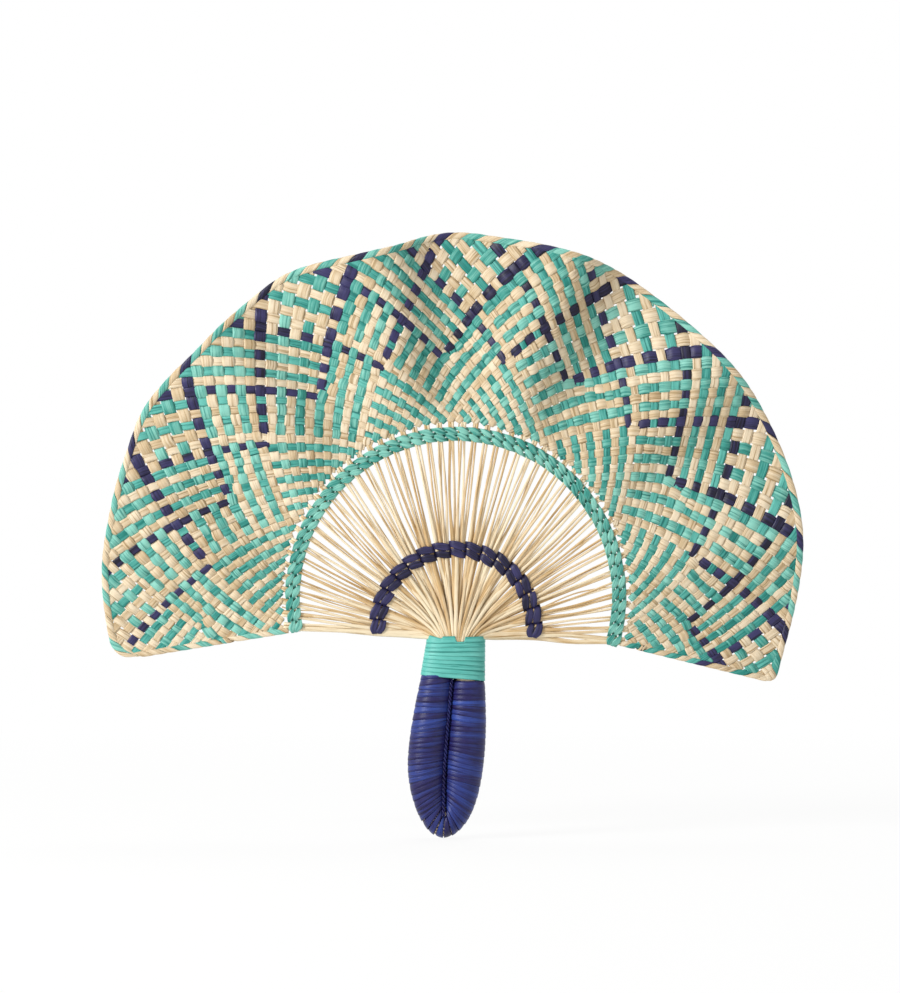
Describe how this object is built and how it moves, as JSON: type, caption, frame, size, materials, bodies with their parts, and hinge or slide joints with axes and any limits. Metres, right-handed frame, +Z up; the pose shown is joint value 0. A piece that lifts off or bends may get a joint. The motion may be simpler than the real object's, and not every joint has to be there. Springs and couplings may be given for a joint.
{
  "type": "palm leaf hand fan",
  "caption": "Hand fan with a ruffled half-ring blade woven from palm strip, straw spokes held by twined bands, a bound neck and a folded handle wrapped in dyed strip.",
  "frame": {"origin": "in the middle of the grip, on the middle line of the fan's spokes and midway between front and back", "axes": "+Z up from the grip through the neck towards the top of the blade, +X across the blade to the right as seen from the front, +Y from front to back"},
  "size_m": [0.3512, 0.0174, 0.3005],
  "materials": {
    "woven_palm": "split palm leaf, natural and dyed strips in plain weave, satin",
    "palm_straw": "undyed palm straw, satin",
    "teal_strip": "palm strip dyed teal, satin",
    "neck_strip": "flat palm strip dyed pale teal, satin",
    "navy_strip": "palm strip dyed navy, satin",
    "handle_strip": "flat palm strip dyed streaky navy blue, satin"
  },
  "bodies": {
    "root": {"woven_blade": "woven_palm", "spoke_bundle_01": "palm_straw", "spoke_bundle_02": "palm_straw", "spoke_bundle_03": "palm_straw", "spoke_bundle_04": "palm_straw", "spoke_bundle_05": "palm_straw", "spoke_bundle_06": "palm_straw", "spoke_bundle_07": "palm_straw", "spoke_bundle_08": "palm_straw", "spoke_bundle_09": "palm_straw", "spoke_bundle_10": "palm_straw", "spoke_bundle_11": "palm_straw", "spoke_bundle_12": "palm_straw", "spoke_bundle_13": "palm_straw", "spoke_bundle_14": "palm_straw", "spoke_bundle_15": "palm_straw", "spoke_bundle_16": "palm_straw", "spoke_bundle_17": "palm_straw", "outer_band_inner_row_strand_a": "teal_strip", "outer_band_inner_row_strand_b": "teal_strip", "outer_band_outer_row_strand_a": "teal_strip", "outer_band_outer_row_strand_b": "teal_strip", "inner_band_inner_row_strand_a": "navy_strip", "inner_band_inner_row_strand_b": "navy_strip", "inner_band_outer_row_strand_a": "navy_strip", "inner_band_outer_row_strand_b": "navy_strip", "handle_core": "palm_straw", "neck_binding": "neck_strip", "handle_wrap_left": "handle_strip", "handle_wrap_right": "handle_strip", "seam_lashing": "handle_strip"}
  },
  "joints": []
}
